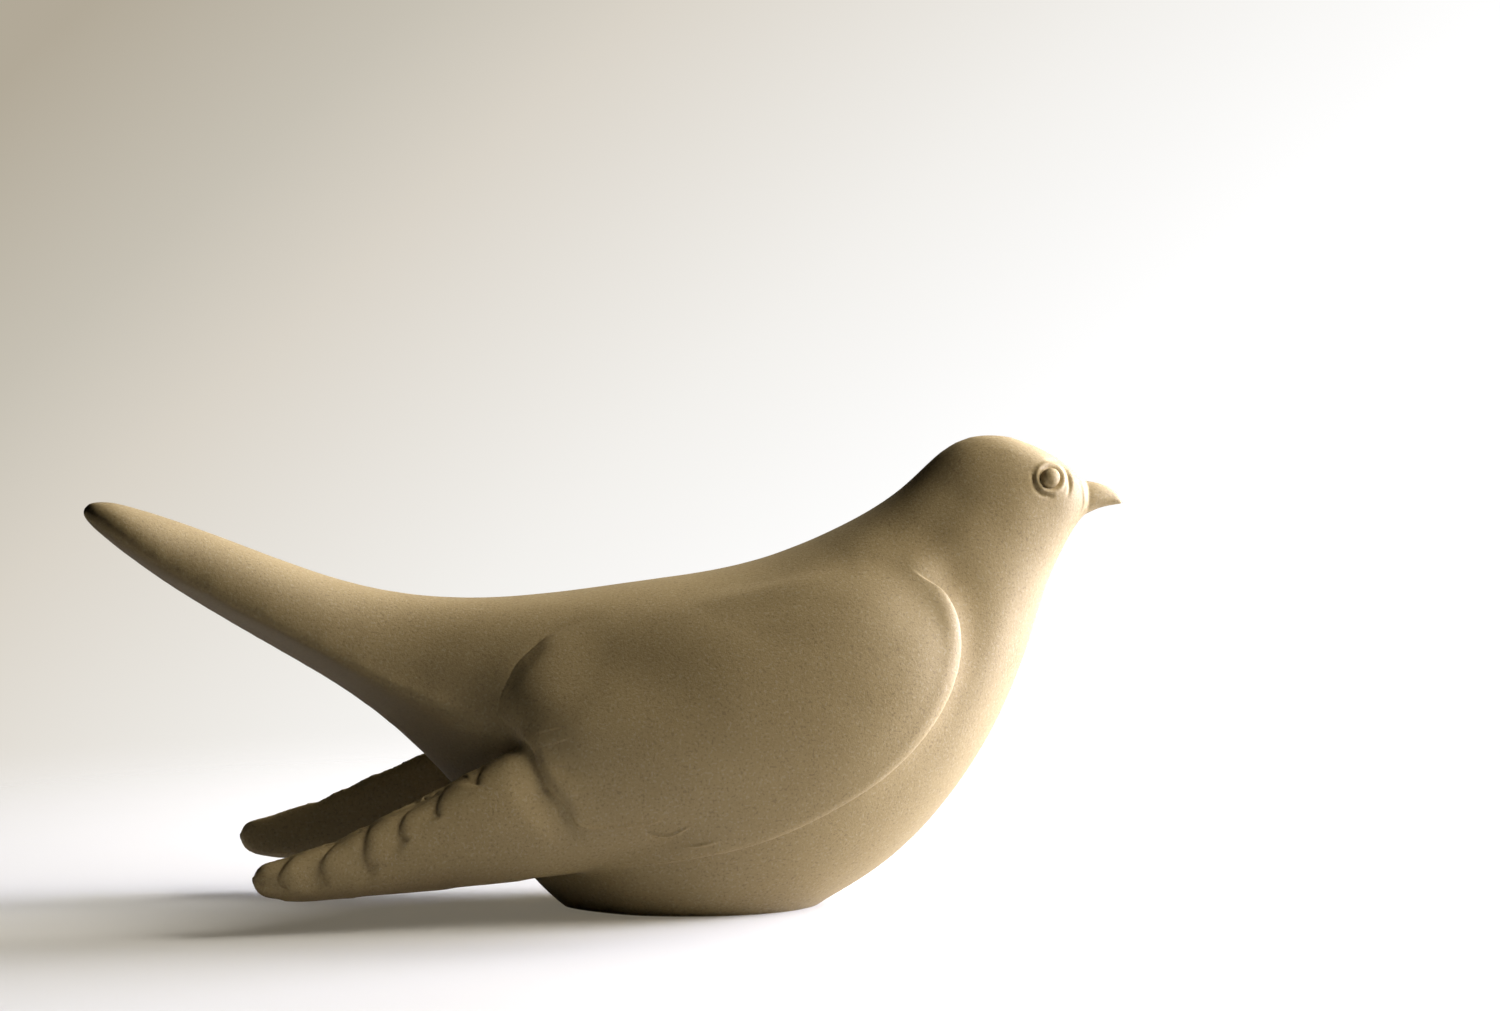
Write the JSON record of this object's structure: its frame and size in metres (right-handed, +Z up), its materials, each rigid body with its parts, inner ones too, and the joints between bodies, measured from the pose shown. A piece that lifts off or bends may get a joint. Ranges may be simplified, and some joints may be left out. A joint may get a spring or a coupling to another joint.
{
  "type": "carved bird statue",
  "caption": "Cuckoo carved from one block of sandstone, resting on the flat cut under its belly with its tail raised and its wing blades drooped.",
  "frame": {"origin": "middle of the flat cut under the belly, on the surface that the bird rests on", "axes": "+X forward to the beak, +Y to the bird's left, +Z up"},
  "size_m": [0.5218, 0.1696, 0.2348],
  "materials": {
    "sandstone": "rubbed matt sandstone with a fine even speckle"
  },
  "bodies": {
    "root": {"cuckoo": "sandstone"}
  },
  "joints": []
}
